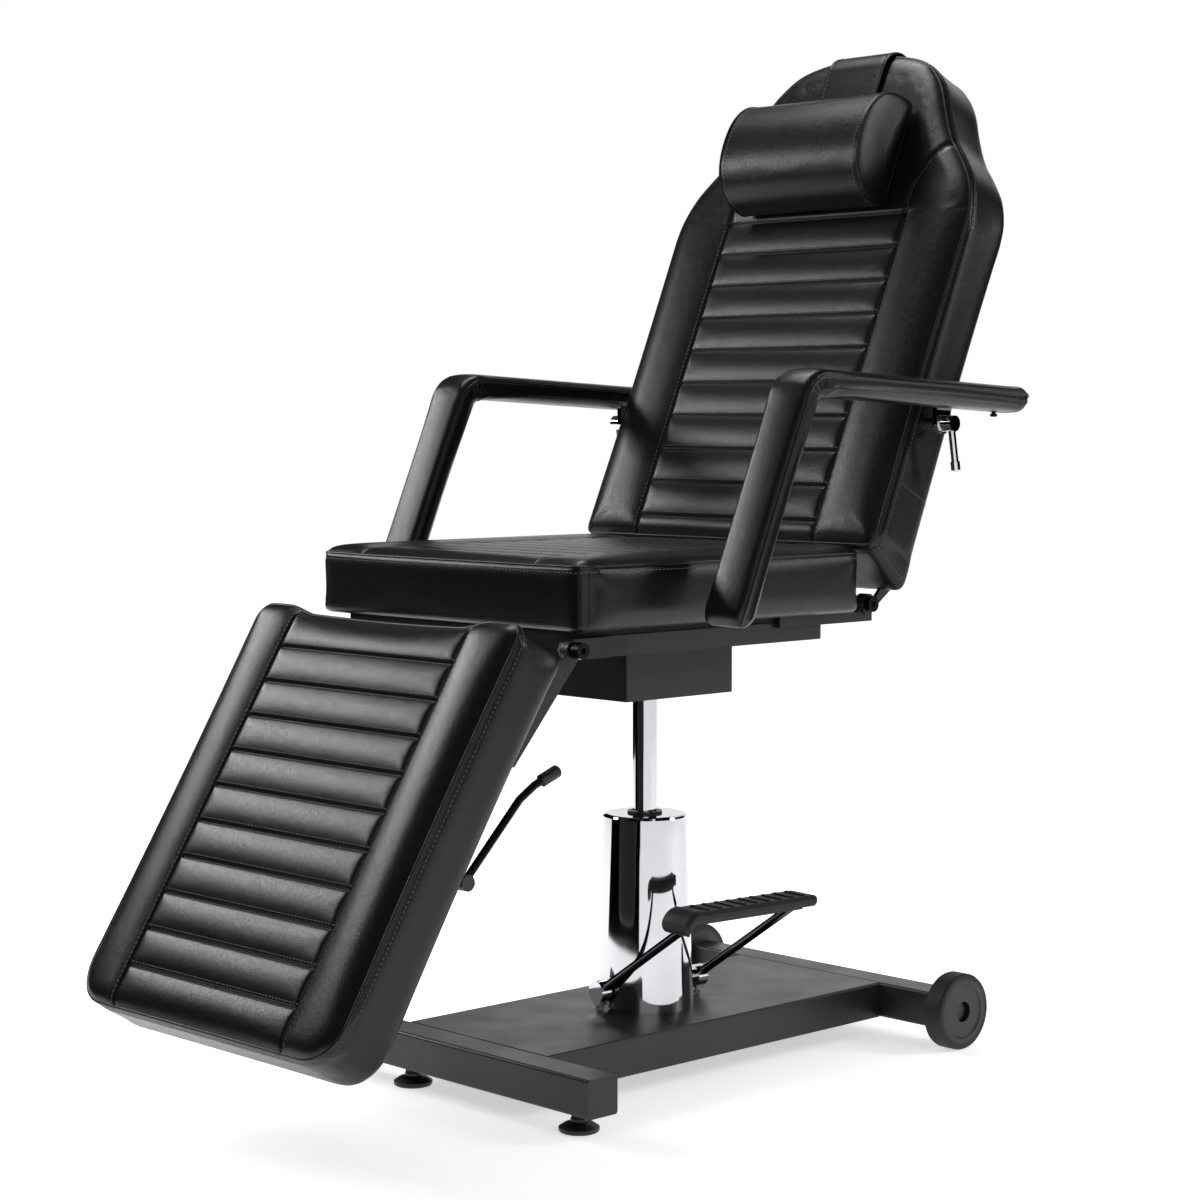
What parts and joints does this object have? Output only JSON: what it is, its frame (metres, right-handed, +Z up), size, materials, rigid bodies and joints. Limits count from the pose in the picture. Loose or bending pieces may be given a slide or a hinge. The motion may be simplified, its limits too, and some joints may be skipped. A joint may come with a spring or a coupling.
{
  "type": "tattoo chair",
  "caption": "Tattoo chair with channelled black leather cushions, reclining back with head pillow, leg rest, armrests and a pedal-pumped chrome column on a wheeled base.",
  "frame": {"origin": "centre of the bounding box's footprint, on the floor", "axes": "+Z up, -Y the way the sitter faces, +X to the sitter's left"},
  "size_m": [0.732, 1.2999, 1.4338],
  "materials": {
    "black_leather": "satin",
    "powder_coat": "satin",
    "chrome": "polished",
    "rubber": "matte",
    "plastic": "satin",
    "plywood": "matte",
    "steel": "satin"
  },
  "bodies": {
    "base": {"base_plate": "powder_coat", "front_beam": "powder_coat", "rear_beam": "powder_coat", "beam_end_caps": "plastic", "wheel_axles": "steel", "pump_body": "steel", "pump_seal": "plastic", "pump_cover": "chrome", "pump_bolts": "steel"},
    "left_foot": {"left_foot_pad": "plastic", "left_foot_stud": "steel"},
    "right_foot": {"right_foot_pad": "plastic", "right_foot_stud": "steel"},
    "left_wheel": {"left_wheel_hub": "plastic", "left_tyre": "rubber"},
    "right_wheel": {"right_wheel_hub": "plastic", "right_tyre": "rubber"},
    "pedal": {"pedal_shaft": "chrome", "pedal_clamps": "chrome", "pedal_rods": "chrome", "pedal_clamp_screws": "steel", "pedal_plate": "steel", "pedal_pad": "rubber"},
    "piston": {"piston_rod": "chrome", "piston_collar": "chrome"},
    "seat": {"swivel_hub": "steel", "mechanism_box": "powder_coat", "left_seat_rail": "powder_coat", "right_seat_rail": "powder_coat", "front_cross_member": "powder_coat", "rear_cross_member": "powder_coat", "seat_board": "plywood", "seat_cushion": "black_leather", "leg_rest_hinge_pins": "steel", "backrest_hinge_pins": "steel"},
    "leg_rest": {"leg_rest_board": "plywood", "leg_rest_cushion": "black_leather", "left_leg_rest_arm": "powder_coat", "right_leg_rest_arm": "powder_coat", "lever_bracket": "powder_coat"},
    "leg_rest_lever": {"release_lever": "chrome", "lever_grip": "plastic"},
    "backrest": {"backrest_board": "plywood", "backrest_cushion": "black_leather", "left_backrest_arm": "powder_coat", "right_backrest_arm": "powder_coat", "left_armrest_stud": "steel", "right_armrest_stud": "steel"},
    "pillow": {"head_pillow": "black_leather", "pillow_strap": "black_leather"},
    "left_armrest": {"left_armrest_frame": "powder_coat", "left_armrest_cushion": "black_leather", "left_armrest_clamp": "chrome", "left_armrest_screw": "steel"},
    "left_handle": {"left_clamp_handle": "chrome"},
    "right_armrest": {"right_armrest_frame": "powder_coat", "right_armrest_cushion": "black_leather", "right_armrest_clamp": "chrome", "right_armrest_screw": "steel"},
    "right_handle": {"right_clamp_handle": "chrome"}
  },
  "joints": [
    {"name": "left_foot_turn", "type": "hinge", "parent": "base", "child": "left_foot", "pos_m": [0.214, -0.214, 0], "axis": [0, 0, 1], "continuous": true},
    {"name": "right_foot_turn", "type": "hinge", "parent": "base", "child": "right_foot", "pos_m": [-0.112, -0.214, 0], "axis": [0, 0, 1], "continuous": true},
    {"name": "left_wheel_spin", "type": "hinge", "parent": "base", "child": "left_wheel", "pos_m": [0.259, 0.477, 0.054], "axis": [1, 0, 0], "continuous": true},
    {"name": "right_wheel_spin", "type": "hinge", "parent": "base", "child": "right_wheel", "pos_m": [-0.259, 0.477, 0.054], "axis": [1, 0, 0], "continuous": true},
    {"name": "pedal_press", "type": "hinge", "parent": "base", "child": "pedal", "pos_m": [0, 0.112, 0.106], "axis": [0.0872, 0.9962, 0], "range_deg": [0, 28], "stiffness_Nm_per_rad": 8, "springref_deg": -20.05},
    {"name": "piston_lift", "type": "slide", "parent": "base", "child": "piston", "axis": [0, 0, 1], "range_m": [-0.11, 0.04]},
    {"name": "seat_swivel", "type": "hinge", "parent": "piston", "child": "seat", "pos_m": [0, 0.112, 0.56], "axis": [0, 0, 1], "continuous": true},
    {"name": "leg_rest_raise", "type": "hinge", "parent": "seat", "child": "leg_rest", "pos_m": [0, -0.244, 0.609], "axis": [-1, 0, 0], "range_deg": [0, 58.3]},
    {"name": "leg_rest_release", "type": "hinge", "parent": "leg_rest", "child": "leg_rest_lever", "pos_m": [0.228, -0.41477, 0.34106], "axis": [-1, 0, 0], "range_deg": [0, 20], "stiffness_Nm_per_rad": 1, "springref_deg": -28.65},
    {"name": "backrest_recline", "type": "hinge", "parent": "seat", "child": "backrest", "pos_m": [0, 0.304, 0.64], "axis": [-1, 0, 0], "range_deg": [0, 66.5]},
    {"name": "left_armrest_swing", "type": "hinge", "parent": "backrest", "child": "left_armrest", "pos_m": [0.308, 0.374, 0.88599], "axis": [1, 0, 0], "range_deg": [-70, 66.5]},
    {"name": "right_armrest_swing", "type": "hinge", "parent": "backrest", "child": "right_armrest", "pos_m": [-0.308, 0.374, 0.88599], "axis": [1, 0, 0], "range_deg": [-70, 66.5]},
    {"name": "left_clamp_turn", "type": "hinge", "parent": "left_armrest", "child": "left_handle", "pos_m": [0.324, 0.374, 0.88599], "axis": [1, 0, 0], "range_deg": [0, 80]},
    {"name": "right_clamp_turn", "type": "hinge", "parent": "right_armrest", "child": "right_handle", "pos_m": [-0.324, 0.374, 0.88599], "axis": [1, 0, 0], "range_deg": [0, 80]},
    {"name": "pillow_lift", "type": "slide", "parent": "backrest", "child": "pillow", "axis": [0, 0.3987, 0.9171], "range_m": [0, 0.3]}
  ]
}
